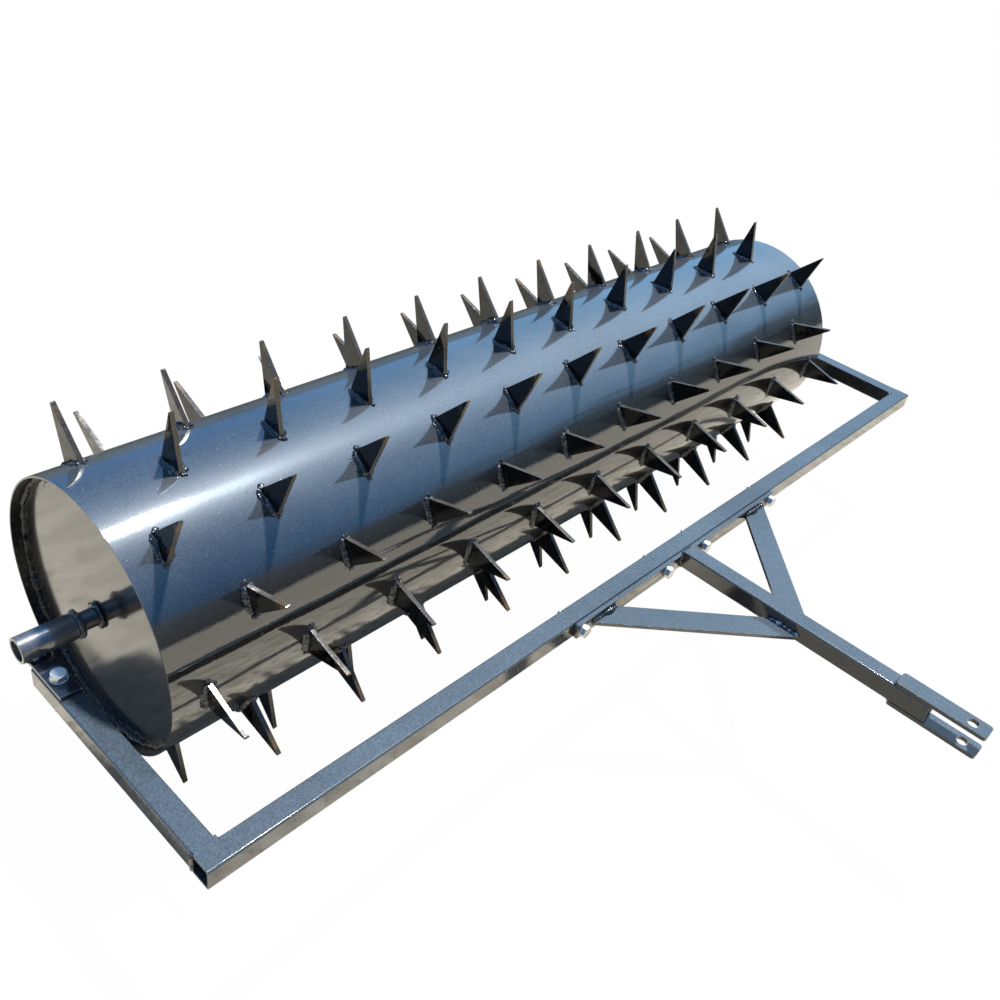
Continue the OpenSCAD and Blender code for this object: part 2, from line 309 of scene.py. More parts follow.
def seam(soup, start, end, out, radius, seed, lumps=2, pitch=0.0034, wobble=0.26):
    """Straight hand-laid bead with a few lumps on it."""
    points = line(start, end)
    out = unit(out)
    bead(soup, points, out, radius, seed=seed, pitch=pitch, lift=0.05, wobble=wobble,
         puddle=0.36)
    rng = np.random.default_rng(seed + 5000)
    for _ in range(lumps):
        j = int(rng.integers(1, 23))
        blob(soup, points[j] + out * radius * 0.3, radius * rng.uniform(0.6, 0.95), rng, out,
             squash=0.8, rough=0.22)


def flush_seam(soup, start, end, out, width, height, seed):
    """Seam ground nearly flush: a long low pillow, half sunk in the surface."""
    rng = np.random.default_rng(seed)
    rows, ring = 40, 14

    def uneven(size, amount):
        smooth = np.convolve(rng.normal(0, 1, rows + 6), np.ones(7) / 7, "valid")
        return size * (1 + amount * smooth)

    path = line(start, end, rows)
    proud = unit(out)
    across = np.cross(unit(path[-1] - path[0]), proud)
    heights = uneven(height, 0.25)
    widths = uneven(width, 0.30)
    theta = 2 * np.pi * np.arange(ring) / ring
    verts = (path[:, None] + across * (widths[:, None] * np.cos(theta))[..., None]
             + proud * (heights[:, None] * np.sin(theta))[..., None])
    faces = tube_faces(rows, ring, closed=False)
    faces.append(tuple(range(ring))[::-1])
    faces.append(tuple((rows - 1) * ring + j for j in range(ring)))
    soup.add(verts.reshape(-1, 3), faces)


# ---------------------------------------------------------------- node helper

class Nodes:
    """Writes the node tree of a material or world."""

    def __init__(self, owner, output="ShaderNodeOutputMaterial"):
        owner.use_nodes = True
        self.owner = owner
        self.tree = owner.node_tree
        self.tree.nodes.clear()
        self.out = self.node(output)

    def node(self, kind, inputs=None, **settings):
        node = self.tree.nodes.new(kind)
        for key, value in settings.items():
            setattr(node, key, value)
        for key, value in (inputs or {}).items():
            self.put(node.inputs[key], value)
        return node

    def put(self, socket, value):
        if isinstance(value, bpy.types.NodeSocket):
            self.tree.links.new(value, socket)
        elif socket.type == "RGBA" and len(value) == 3:
            socket.default_value = (*value, 1.0)
        else:
            socket.default_value = value

    def coord(self, kind="Object"):
        return self.node("ShaderNodeTexCoord").outputs[kind]

    def mapping(self, vec, scale=(1, 1, 1), loc=(0, 0, 0), rot=(0, 0, 0)):
        return self.node("ShaderNodeMapping", {
            "Vector": vec, "Scale": scale, "Location": loc, "Rotation": rot}).outputs["Vector"]

    def noise(self, vec, scale, detail, rough):
        return self.node("ShaderNodeTexNoise", {
            "Vector": vec, "Scale": scale, "Detail": detail, "Roughness": rough}).outputs["Fac"]

    def math(self, op, a, b=None, clamp=False):
        inputs = {0: a} if b is None else {0: a, 1: b}
        return self.node("ShaderNodeMath", inputs, operation=op, use_clamp=clamp).outputs[0]

    def plus(self, base, mask, amount):
        return self.math("ADD", base, self.math("MULTIPLY", mask, amount))

    def minus(self, base, mask, amount, clamp=False):
        return self.math("SUBTRACT", base, self.math("MULTIPLY", mask, amount), clamp)

    def vector_math(self, op, a, b=None):
        inputs = {0: a} if b is None else {0: a, 1: b}
        node = self.node("ShaderNodeVectorMath", inputs, operation=op)
        return node.outputs["Value" if op in ("LENGTH", "DOT_PRODUCT") else "Vector"]

    def split(self, vec):
        return self.node("ShaderNodeSeparateXYZ", {0: vec}).outputs

    def grey(self, value):
        return self.node("ShaderNodeCombineXYZ", {0: value, 1: value, 2: value}).outputs[0]

    def remap(self, value, span, to=(0.0, 1.0), smooth=False):
        """Takes the span of values to another, clamped at both ends."""
        return self.node("ShaderNodeMapRange", {
            "Value": value, "From Min": span[0], "From Max": span[1],
            "To Min": to[0], "To Max": to[1]}, clamp=True,
            interpolation_type="SMOOTHSTEP" if smooth else "LINEAR").outputs["Result"]

    def mix(self, fac, a, b, blend="MIX"):
        return self.node("ShaderNodeMix", {0: fac, 6: a, 7: b}, data_type="RGBA",
                         blend_type=blend).outputs[2]

    def mix_shader(self, fac, a, b):
        return self.node("ShaderNodeMixShader", {0: fac, 1: a, 2: b}).outputs[0]

    def bump(self, height, dist, normal=None):
        inputs = {"Strength": 1.0, "Distance": dist, "Height": height}
        if normal is not None:
            inputs["Normal"] = normal
        return self.node("ShaderNodeBump", inputs).outputs["Normal"]

    def edge(self, radius):
        """0 on flats, 1 along sharp edges."""
        bevel = self.node("ShaderNodeBevel", {"Radius": radius}, samples=3)
        geometry = self.node("ShaderNodeNewGeometry")
        dot = self.vector_math("DOT_PRODUCT", bevel.outputs["Normal"],
                               geometry.outputs["Normal"])
        return self.remap(self.math("SUBTRACT", 1.0, dot), span=(0.02, 0.2))

    def specks(self, vec, scale, keep, fade):
        """Scattered round specks, 1 on a speck. keep: share of cells; fade: rim radii."""
        cells = self.node("ShaderNodeTexVoronoi", {"Vector": vec, "Scale": scale})
        pick = self.node("ShaderNodeSeparateColor", {0: cells.outputs["Color"]}).outputs[0]
        kept = self.math("GREATER_THAN", pick, 1.0 - keep)
        spot = self.remap(cells.outputs["Distance"], span=fade, to=(1.0, 0.0))
        return self.math("MULTIPLY", spot, kept)

    def off_axis(self):
        """Vector out from the drum's axis, and the surface normal."""
        geometry = self.node("ShaderNodeNewGeometry")
        away = self.vector_math("SUBTRACT", geometry.outputs["Position"],
                                (0.0, AXIS[1], AXIS[2]))
        return (self.vector_math("MULTIPLY", away, (0.0, 1.0, 1.0)),
                geometry.outputs["Normal"])

    def principled(self, **inputs):
        named = {key.replace("_", " "): value for key, value in inputs.items()}
        bsdf = self.node("ShaderNodeBsdfPrincipled", named)
        self.put(self.out.inputs["Surface"], bsdf.outputs["BSDF"])
        return self.owner


def new_material(name):
    return Nodes(bpy.data.materials.new(name))


# ------------------------------------------------------------------ materials

def cut_skin(m, co, amount):
    """Mask of the cut edges, which face away from x."""
    nx = m.split(m.coord("Normal"))[0]
    skin = m.remap(m.math("ABSOLUTE", nx), span=(0.35, 0.85), to=(amount, 0.0))
    patches = m.remap(m.noise(co, scale=160.0, detail=4.0, rough=0.65),
                      span=(0.30, 0.62), to=(0.45, 1.0))
    return m.math("MULTIPLY", skin, patches)


def worn_tips(m, co, amount):
    """Mask of the spike points rubbed through."""
    reach = m.vector_math("LENGTH", m.off_axis()[0])
    tip = m.remap(reach, span=(TIP_RADIUS - 0.020, TIP_RADIUS - 0.003))
    patches = m.remap(m.noise(co, scale=42.0, detail=4.0, rough=0.7),
                      span=(0.47, 0.62), to=(0.0, amount))
    return m.math("MULTIPLY", tip, patches)


def gloss_paint(name, *, wave, wear, smudge, offset=0.0, coat_ior=2.05, rough=0.045,
                haze_ior=1.25, film=0.045, film_hue=(1.45, 1.42, 1.30), dust=1.0,
                wave_scale=(5, 14, 14), peel=1.0, rust=0.0, soot=0.0, settle=0.0, tilt=None,
                dull=0.0, cut=0.0, hollow=False, brush=0.0, wipe=(26, 70, 70), tips=0.0,
                speck=0.26, tint=(0.0022, 0.0028, 0.0042)):
    """Gloss-black paint on steel: a mirror-like coat over a hazy base.

    Base: tint colour, haze_ior. Coat: coat_ior, rough. offset shifts all textures.
    Dust: dust amount, film strength and film_hue, speck brightness; settle keeps it to
    faces whose normal z is past the tilt range, and dull thins the coat there.
    Relief: wave over wave_scale (sheet waviness), peel (orange peel), brush (fine lines).
    Damage: smudge stretched by wipe, wear on edges, rust, soot, cut edges, spike tips.
    hollow: the inner wall of the drum is only misted with paint.
    """
    m = new_material(name)
    co = m.mapping(m.coord(), loc=(offset, offset * 0.7, offset * 1.3))
    cloud = m.noise(co, scale=6.0, detail=4.0, rough=0.62)
    fine = m.noise(co, scale=620.0, detail=3.0, rough=0.7)
    specks = m.specks(co, scale=260.0, keep=0.07 * dust, fade=(0.04, 0.13))
    scratches = m.mapping(co, scale=(22, 620, 620), rot=(0.3, 0.1, 0.05))
    scratches = m.remap(m.noise(scratches, scale=1.0, detail=2.0, rough=0.6),
                        span=(0.72, 0.76))
    scratches = m.math("MULTIPLY", scratches, m.remap(cloud, span=(0.50, 0.60)))

    # Dust film
    dusty = m.math("MULTIPLY", m.remap(fine, span=(0.36, 0.66), to=(0.55, 1.35)),
                   m.remap(cloud, span=(0.32, 0.68), to=(0.72, 1.15)))
    if settle > 0:
        # Dust lies mostly on what faces up
        lies = m.remap(m.split(m.coord("Normal"))[2], span=tilt)
        dusty = m.math("MULTIPLY", dusty, m.remap(lies, span=(0.0, 1.0), to=(1.0 - settle, 1.0)))
    film_color = tuple(t + film * h for t, h in zip(tint, film_hue))
    color = m.mix(m.math("MULTIPLY", dusty, min(1.0, dust) * 0.7, clamp=True), tint, film_color)
    coat_rough = m.plus(rough, dusty, 0.015 * dust)
    if cut > 0:
        # Cut edges carry a rougher, browner skin than the plate faces
        skin = cut_skin(m, co, cut)
        color = m.mix(skin, color, (0.125, 0.105, 0.082))
        coat_rough = m.plus(coat_rough, skin, 0.16)

    # Tiny specks, pale wiped blotches, larger specks, scratches
    tiny = m.specks(co, scale=520.0, keep=min(0.6, 0.28 * dust), fade=(0.06, 0.20))
    color = m.mix(m.math("MULTIPLY", tiny, 0.35), color, (0.20, 0.21, 0.22))
    wiped = m.noise(m.mapping(co, scale=wipe, rot=(0.0, 0.0, 0.35)),
                    scale=1.0, detail=5.0, rough=0.72)
    wiped = m.remap(wiped, span=(0.57, 0.74), to=(0.0, smudge))
    if settle > 0:
        wiped = m.math("MULTIPLY", wiped, m.remap(lies, span=(0.0, 1.0), to=(0.25, 1.0)))
    color = m.mix(wiped, color, (0.105, 0.110, 0.112))
    color = m.mix(m.math("MULTIPLY", specks, min(0.95, 0.30 + speck)), color,
                  (speck, speck, speck * 0.96))
    color = m.mix(m.math("MULTIPLY", scratches, 0.22), color, (0.20, 0.20, 0.20))
    coat_rough = m.plus(coat_rough, specks, 0.25)
    coat_rough = m.plus(coat_rough, wiped, 0.06)

    metallic = 0.0
    coat = 1.0
    if dull > 0:
        coat = m.minus(coat, lies, dull)
    if soot > 0:
        sooty = m.remap(m.noise(co, scale=55.0, detail=4.0, rough=0.65),
                        span=(0.48, 0.66), to=(0.0, soot))
        color = m.mix(sooty, color, (0.055, 0.046, 0.036))
        coat_rough = m.plus(coat_rough, sooty, 0.22)
    if rust > 0:
        rusty = m.noise(m.mapping(co, loc=(3.1, 0.4, 1.9)), scale=70.0, detail=5.0, rough=0.7)
        rusty = m.remap(rusty, span=(0.62, 0.70), to=(0.0, rust))
        color = m.mix(rusty, color, (0.15, 0.070, 0.030))
        coat_rough = m.plus(coat_rough, rusty, 0.4)
        coat = m.minus(coat, rusty, 0.8)
    if tips > 0:
        worn = worn_tips(m, co, tips)
        color = m.mix(worn, color, (0.26, 0.165, 0.080))
        coat_rough = m.plus(coat_rough, worn, 0.3)
        coat = m.minus(coat, worn, 0.6, clamp=True)
    if wear > 0:
        # Bare steel on sharp edges
        patches = m.remap(m.noise(co, scale=190.0, detail=4.0, rough=0.65),
                          span=(0.44, 0.60), to=(0.0, wear))
        rubbed = m.math("MULTIPLY", m.edge(0.0006), patches)
        color = m.mix(rubbed, color, (0.36, 0.355, 0.35))
        metallic = m.math("MULTIPLY", rubbed, 0.9)
        coat_rough = m.plus(coat_rough, rubbed, 0.22)
    if hollow:
        # Faces turned to the axis are dull, dark and gritty
        inside = m.remap(m.vector_math("DOT_PRODUCT", *m.off_axis()), span=(-0.03, -0.06))
        grit = m.remap(m.noise(co, scale=340.0, detail=4.0, rough=0.7), span=(0.52, 0.70))
        color = m.mix(inside, color, m.mix(grit, (0.0045, 0.0050, 0.0060),
                                           (0.085, 0.080, 0.070)))
        coat = m.minus(coat, inside, 0.80)
        coat_rough = m.plus(coat_rough, inside, 0.20)

    # Relief, coarse to fine; the bump distances are in metres
    waves = m.noise(m.mapping(co, scale=wave_scale), scale=1.0, detail=2.0, rough=0.45)
    normal = m.bump(waves, 0.0009 * wave)
    normal = m.bump(m.noise(co, scale=240.0, detail=2.0, rough=0.5), 0.000030 * peel, normal)
    if brush > 0:
        lines = m.noise(m.mapping(co, scale=(650, 22, 22)), scale=1.0, detail=3.0, rough=0.6)
        normal = m.bump(lines, 0.000022 * brush, normal)
    raised = m.minus(m.math("MULTIPLY", specks, 0.7), scratches, 0.4)
    normal = m.bump(raised, 0.00010, normal)
    return m.principled(Base_Color=color, Metallic=metallic, Roughness=0.37, IOR=haze_ior,
                        Coat_Weight=coat, Coat_IOR=coat_ior, Coat_Roughness=coat_rough,
                        Normal=normal, Coat_Normal=normal)


def weld_metal(name, *, bare, offset=0.0, cover=0.0, grain=1.0, gloss=0.80):
    """Painted weld: glossy lumps, darker where the lumps dip, bare glints and rust.

    bare and cover: strength and spread of the glints; grain: their fineness.
    """
    m = new_material(name)
    co = m.mapping(m.coord(), loc=(offset, offset, offset))
    lumps = m.noise(co, scale=260.0, detail=3.0, rough=0.6)
    grit = m.noise(co, scale=900.0, detail=3.0, rough=0.6)
    # Darker where the lumps dip, lighter on their crowns; the same noise drives the bump
    color = m.mix(m.remap(lumps, span=(0.42, 0.70)), (0.0035, 0.0042, 0.0060),
                  (0.024, 0.023, 0.022))
    glints = m.remap(m.noise(co, scale=210.0 * grain, detail=3.0, rough=0.6),
                     span=(0.60 - cover, 0.67 - cover), to=(0.0, bare))
    color = m.mix(glints, color, (0.50, 0.49, 0.475))
    rusty = m.noise(m.mapping(co, loc=(3.3, 1.1, 0.4)), scale=80.0, detail=4.0, rough=0.7)
    color = m.mix(m.remap(rusty, span=(0.64, 0.72), to=(0.0, 0.45)), color,
                  (0.11, 0.058, 0.030))
    normal = m.bump(grit, 0.00022, m.bump(lumps, 0.0009))
    return m.principled(
        Base_Color=color, Metallic=m.math("MULTIPLY", glints, 1.2, clamp=True),
        Roughness=m.remap(grit, span=(0.3, 0.7), to=(0.22, 0.45)), IOR=1.35,
        Coat_Weight=gloss, Coat_IOR=1.75, Coat_Roughness=0.11,
        Normal=normal, Coat_Normal=normal)


def bare_metal(name, color, *, rough, tint, turned=False, stain=0.25, wear=0.0):
    """Unpainted metal; tint multiplies the colour in patches, turned adds lathe lines."""
    m = new_material(name)
    co = m.coord()
    fine = m.noise(co, scale=520.0, detail=4.0, rough=0.6)
    patches = m.noise(co, scale=60.0, detail=4.0, rough=0.6)
    mixed = m.mix(m.remap(patches, span=(0.35, 0.68)), color,
                  tuple(a * b for a, b in zip(color, tint)))
    dirt = m.noise(m.mapping(co, loc=(1.7, 0.3, 2.2)), scale=150.0, detail=5.0, rough=0.7)
    dirt = m.remap(dirt, span=(0.54, 0.72), to=(0.0, stain))
    mixed = m.mix(dirt, mixed, tuple(c * 0.22 for c in color))
    if wear > 0:
        mixed = m.mix(m.math("MULTIPLY", m.edge(0.0005), wear), mixed,
                      tuple(min(1.0, c * 1.25 + 0.05) for c in color))
    normal = m.bump(fine, 0.00004)
    if turned:
        lines = m.noise(m.mapping(co, scale=(2500, 20, 20)), scale=1.0, detail=2.0, rough=0.5)
        normal = m.bump(lines, 0.00003, normal)
    return m.principled(Base_Color=mixed, Metallic=1.0, Normal=normal,
                        Roughness=m.plus(m.remap(fine, span=(0.3, 0.7), to=rough), dirt, 0.4))


DRUM_PAINT = gloss_paint(
    "gloss_black_drum", wear=0.7, wave=1.5, settle=1.0, smudge=0.22, hollow=True, brush=1.0,
    film_hue=(2.2, 2.75, 3.5), tilt=(0.42, 0.76), speck=0.60, dust=1.15)
PLATE_PAINT = gloss_paint(
    "gloss_black_end_plate", offset=3.0, dust=0.3, film=0.006, haze_ior=1.15, rough=0.11,
    coat_ior=2.25, wave=1.3, wave_scale=(9, 9, 9), wear=0.0, smudge=0.10)
SPIKE_PAINT = gloss_paint(
    "gloss_black_spikes", offset=1.7, dust=0.35, film=0.002, haze_ior=1.05, rough=0.05,
    coat_ior=1.55, wave=0.35, wave_scale=(40, 40, 40), wear=1.0, rust=0.40, soot=0.05,
    cut=0.8, smudge=0.06, tips=0.9, tint=(0.0010, 0.0013, 0.0022))
FRAME_PAINT = gloss_paint(
    "gloss_black_frame", offset=5.1, film=0.055, rough=0.06, coat_ior=1.95, wave=0.5,
    wave_scale=(9, 9, 9), peel=1.6, wear=0.9, soot=0.08, settle=0.95, smudge=0.9,
    film_hue=(2.2, 3.1, 4.1), wipe=(48, 60, 48), dull=0.62, tilt=(0.30, 0.80), speck=0.45)
SLEEVE_PAINT = gloss_paint(
    "gloss_black_sleeve", offset=7.7, film=0.075, haze_ior=1.65, rough=0.08, coat_ior=2.05,
    wave=0.2, wave_scale=(30, 30, 30), peel=2.0, wear=0.8, soot=0.12, smudge=0.30,
    settle=0.55, film_hue=(2.9, 3.0, 3.2), tilt=(-0.2, 0.50), speck=0.5)
LUG_PAINT = gloss_paint(
    "gloss_black_lug", offset=9.3, film=0.016, haze_ior=1.2, rough=0.07, coat_ior=1.75,
    dust=2.4, wave=0.4, wave_scale=(30, 30, 30), peel=1.6, wear=1.0, smudge=0.45,
    film_hue=(1.5, 1.9, 2.9), wipe=(60, 60, 60), speck=0.85)
WELD = weld_metal("painted_weld", bare=0.40)
RIM_WELD = weld_metal("rim_weld", bare=0.38, offset=2.4, grain=2.2, gloss=0.28)
BARE_WELD = weld_metal("bare_weld", bare=0.95, offset=4.9, cover=0.12, gloss=0.9)
ZINC = bare_metal("zinc_plate", (0.69, 0.69, 0.685), rough=(0.30, 0.52),
                  tint=(0.95, 0.93, 0.86), wear=0.5)
AXLE_STEEL = bare_metal("axle_steel", (0.20, 0.20, 0.21), rough=(0.28, 0.45),
                        tint=(0.95, 0.82, 0.68), turned=True, stain=0.8)
BRONZE = bare_metal("bush_bronze", (0.50, 0.33, 0.16), rough=(0.25, 0.42),
                    tint=(0.8, 0.72, 0.6), turned=True, stain=0.6)

# Material by full name, then by the start of the name; the rest is frame paint.
NAMED_MATERIALS = {"drum_shell": DRUM_PAINT, "axle": AXLE_STEEL}
PREFIX_MATERIALS = {
    "spike_row": SPIKE_PAINT, "end_plate": PLATE_PAINT, "axle_bush": BRONZE, "plate_": ZINC,
    "mount_bolts": ZINC, "mount_washers": ZINC, "mount_nuts": ZINC,
    "axle_sleeve": SLEEVE_PAINT, "thrust_collar": SLEEVE_PAINT, "sleeve_plate": LUG_PAINT,
}


def by_prefix(table, name, default):
    return next((v for prefix, v in table.items() if name.startswith(prefix)), default)


def dress(name, ob):
    """Gives a CAD piece its material and softened edges."""
    mesh = ob.data
    mesh.materials.clear()
    material = by_prefix(PREFIX_MATERIALS, name, FRAME_PAINT)
    mesh.materials.append(NAMED_MATERIALS.get(name, material))
    mesh.polygons.foreach_set("use_smooth", [True] * len(mesh.polygons))
    if "custom_normal" in mesh.attributes:
        mesh.attributes.remove(mesh.attributes["custom_normal"])
    join = ob.modifiers.new("join", "WELD")
    join.merge_threshold = JOIN_DISTANCE
    bevel = ob.modifiers.new("edges", "BEVEL")
    bevel.width = by_prefix(BEVEL_WIDTHS, name, BEVEL_DEFAULT)
    bevel.segments = 2
    bevel.limit_method = "ANGLE"
    bevel.angle_limit = BEVEL_ANGLE
    bevel.use_clamp_overlap = True
    normals = ob.modifiers.new("normals", "WEIGHTED_NORMAL")
    normals.keep_sharp = False
    normals.weight = 60


for name, ob in NODES.items():
    dress(name, ob)


# ---------------------------------------------------------- welds on the drum

DRUM_RADIUS = radius_of("drum_shell")
AXLE_RADIUS = radius_of("axle")

# Passes along each face of a spike: (gap from the face, bead radius,
# lift off the drum, range of random shortening)
SPIKE_PASSES = (
    (0.0036, 0.0029, -0.0009, (0.72, 0.95)),
    (0.0008, 0.0035, -0.0001, None),
)


class Foot(namedtuple("Foot", "x arc long short half_length half_thick")):
    """Where a spike meets the drum. arc: length round the drum from the top towards
    the hitch; long and short: unit vectors of the plate's two directions in (x, arc)."""

    def at(self, along, across):
        return (self.x + self.long[0] * along + self.short[0] * across,
                self.arc + self.long[1] * along + self.short[1] * across)


def spike_feet(node):
    feet = []
    for points in loose_parts(node):
        reach = np.hypot(points[:, 1] - AXIS[1], points[:, 2] - AXIS[2])
        foot = points[reach < DRUM_RADIUS + 0.0006]
        angle = np.unwrap(np.arctan2(-(foot[:, 1] - AXIS[1]), foot[:, 2] - AXIS[2]))
        flat = np.stack([foot[:, 0], angle * DRUM_RADIUS], 1)
        centre = (flat.max(0) + flat.min(0)) / 2
        long = np.linalg.eigh(np.cov((flat - centre).T))[1][:, 1]
        if long[1] < 0:
            long = -long
        short = np.array([-long[1], long[0]])
        halves = [(np.ptp((flat - centre) @ way)) / 2 for way in (long, short)]
        feet.append(Foot(centre[0], centre[1], long, short, *halves))
    return feet


def on_drum(x, arc, lift):
    """Point over the drum surface, and the outward normal there."""
    normal = around(arc / DRUM_RADIUS)
    return from_axis(x, DRUM_RADIUS + lift, normal), normal


def weld_spike_face(soup, rng, foot, side, seed):
    """Two overlapping passes and a few lumps along one face of a spike."""
    extra = rng.uniform(-0.0005, 0.0012, 2)
    reach = np.linspace(-foot.half_length - extra[0], foot.half_length + extra[1], 18)
    for gap, radius, lift, shorten in SPIKE_PASSES:
        points, outs = [], []
        for along in reach * (rng.uniform(*shorten) if shorten else 1.0):
            point, normal = on_drum(*foot.at(along, side * (foot.half_thick + gap)), lift)
            tangent = np.array([0, -normal[2], normal[1]])
            away = np.array([foot.short[0], 0, 0]) + tangent * foot.short[1]
            points.append(point)
            outs.append(unit(normal * 0.75 + side * away * 0.65))
        bead(soup, points, outs, radius * rng.uniform(0.86, 1.14),
             seed=seed + side + int(radius * 1e5), pitch=rng.uniform(0.0030, 0.0042),
             lift=0.0, wobble=0.24, puddle=0.38)
    for _ in range(int(rng.integers(1, 4))):
        j = int(rng.integers(1, 17))
        blob(soup, points[j] + outs[j] * 0.0008, rng.uniform(0.0018, 0.0032), rng, outs[j],
             squash=0.75, rough=0.2)


def dab_spike_ends(soup, rng, foot):
    """Dabs where the bead wraps the foot."""
    for end in (-1, 1):
        for _ in range(int(rng.integers(2, 5))):
            along = end * (foot.half_length + rng.uniform(0.0002, 0.0030))
            across = rng.uniform(-foot.half_thick, foot.half_thick)
            point, normal = on_drum(*foot.at(along, across), 0.0002)
            blob(soup, point, rng.uniform(0.0014, 0.0029), rng, normal, squash=0.7, rough=0.24)


def spatter_spike(soup, rng, foot):
    """Small drops round the foot, none under the plate."""
    for _ in range(int(rng.integers(5, 11))):
        angle = rng.uniform(0, 2 * math.pi)
        dist = 0.005 + min(0.016, abs(rng.normal(0, 0.007)))
        x = foot.x + math.cos(angle) * dist
        arc = foot.arc + math.sin(angle) * dist * 1.3
        along, across = ((x - foot.x) * way[0] + (arc - foot.arc) * way[1]
                         for way in (foot.long, foot.short))
        if abs(across) < foot.half_thick + 0.002 and abs(along) < foot.half_length:
            continue
        radius = rng.uniform(0.00025, 0.00070)
        point, normal = on_drum(x, arc, radius * 0.35)
        blob(soup, point, radius, rng, normal, squash=0.8, detail=1)


def weld_spike_row(row):
    name = "spike_row_%02d" % row
    soup = Soup()
    rng = np.random.default_rng(700 + row)
    for i, foot in enumerate(spike_feet(name)):
        for side in (-1, 1):
            weld_spike_face(soup, rng, foot, side, seed=row * 1000 + i * 10)
        dab_spike_ends(soup, rng, foot)
        spatter_spike(soup, rng, foot)
    soup.finish("weld_" + name, WELD, "drum")


def weld_rim(side, tag, rng):
    """Bead, lumps and spatter on the end plate, just inside its rim."""
    face = inner_outer("end_plate_" + tag, side)[1]
    rim = radius_of("end_plate_" + tag)
    out_dir = np.array([side, 0, 0.0])
    soup = Soup()
    ring_bead(soup, face + side * 0.0004, rim - 0.0012, points=420, lean=(-0.8, side * 0.75),
              radius=0.0038, seed=31 + side, pitch=0.0046, ring=12, lift=-0.05, puddle=0.42,
              wobble=0.30)
    for _ in range(70):
        outward = around(rng.uniform(0, 2 * math.pi))
        centre = from_axis(face + side * rng.uniform(0.0, 0.0030),
                           rim - rng.uniform(0.0, 0.0030), outward)
        blob(soup, centre, rng.uniform(0.0012, 0.0024), rng, -outward + out_dir,
             squash=0.75, rough=0.22)
    for _ in range(220):
        outward = around(rng.uniform(0, 2 * math.pi))
        radius = rng.uniform(0.0003, 0.0008)
        centre = from_axis(face + side * radius * 0.4,
                           rim - 0.004 - abs(rng.normal(0, 0.006)), outward)
        blob(soup, centre, radius, rng, out_dir, squash=0.8, detail=1)
    # Nothing stands out past the rim
    for verts in soup.verts:
        yz = verts[:, 1:] - AXIS[1:]
        shrink = np.minimum(1.0, (rim + 0.0006) / np.linalg.norm(yz, axis=1))
        verts[:, 1:] = AXIS[1:] + yz * shrink[:, None]
    soup.finish("weld_rim_" + tag, RIM_WELD, "drum")


def weld_axle(side, tag, rng):
    """Beads round the axle at the end plate and at the thrust collar."""
    face = inner_outer("end_plate_" + tag, side)[1]
    out_dir = np.array([side, 0, 0.0])
    soup = Soup()
    ring_bead(soup, face + side * 0.0012, AXLE_RADIUS + 0.0012, points=90,
              lean=(0.7, side * 0.7), radius=0.0030, seed=51 + side, pitch=0.0044, ring=12,
              lift=0.1, puddle=0.42, wobble=0.34)
    for _ in range(16):
        outward = around(rng.uniform(0, 2 * math.pi))
        centre = from_axis(face + side * rng.uniform(0.0, 0.0030),
                           AXLE_RADIUS + rng.uniform(0.0008, 0.0040), outward)
        blob(soup, centre, rng.uniform(0.0012, 0.0026), rng, outward + out_dir,
             squash=0.8, rough=0.24)
    collar = radius_of("thrust_collar_" + tag) - 0.0002
    x_inner, x_outer = inner_outer("thrust_collar_" + tag, side)
    ring_bead(soup, x_inner - side * 0.0004, AXLE_RADIUS + 0.0006, points=90,
              lean=(0.7, -side * 0.7), radius=0.0022, seed=61 + side, pitch=0.0038, lift=0.1,
              puddle=0.40, wobble=0.32)
    # Rough ring run round the collar
    ring_bead(soup, (x_inner + x_outer) / 2 - side * 0.0006, collar, points=110,
              lean=(1, 0), radius=0.0017, seed=71 + side, pitch=0.0040, lift=-0.1,
              puddle=0.50, wobble=0.45)
    x_low, x_high = min(x_inner, x_outer) + 0.001, max(x_inner, x_outer) - 0.001
    for _ in range(18):
        outward = around(rng.uniform(0, 2 * math.pi))
        centre = from_axis(rng.uniform(x_low, x_high), collar, outward)
        blob(soup, centre, rng.uniform(0.0010, 0.0020), rng, outward, squash=0.7, rough=0.26)
    soup.finish("weld_axle_" + tag, WELD, "drum")


# --------------------------------------------------------- welds on the frame

def weld_corner(side, tag):
    """Side rail to front beam."""
    low, high = box_of("side_rail_" + tag)
    x_inner, x_outer = inner_outer("side_rail_" + tag, side)
    y, top, bottom = low[1], high[2], low[2]
    soup = Soup()
    seam(soup, (x_inner, y, bottom + 0.0008), (x_inner, y, top - 0.0006),
         out=(-side, 1, 0), radius=0.0034, seed=101 + side, lumps=3)
    x = x_outer - side * 0.0003
    seam(soup, (x, y, bottom + 0.001), (x, y, top - 0.001),
         out=(side, 0, 0), radius=0.0019, seed=111 + side, lumps=4, wobble=0.4)
    seam(soup, (x_inner, y, bottom + 0.0002), (x_outer - side * 0.001, y, bottom + 0.0002),
         out=(0, 0, -1), radius=0.0018, seed=121 + side)
    soup.finish("weld_corner_" + tag, WELD)
    if side > 0:
        # Bare dabs on top of the right inner corner
        soup = Soup()
        rng = np.random.default_rng(137)
        for _ in range(5):
            centre = np.array([x_inner - side * rng.uniform(-0.0010, 0.0020),
                               y + rng.uniform(-0.0010, 0.0020),
                               top + rng.uniform(-0.0010, 0.0002)])
            blob(soup, centre, rng.uniform(0.0016, 0.0026), rng, (0, 0, 1),
                 squash=0.8, rough=0.22)
        soup.finish("dab_corner_" + tag, BARE_WELD)
    soup = Soup()
    flush_seam(soup, (x_inner - side * 0.0015, y, top - 0.0001),
               (x_outer - side * 0.0012, y, top - 0.0001),
               out=(0, 0, 1), width=0.0030, height=0.00012, seed=131 + side)
    soup.finish("seam_corner_" + tag, FRAME_PAINT)


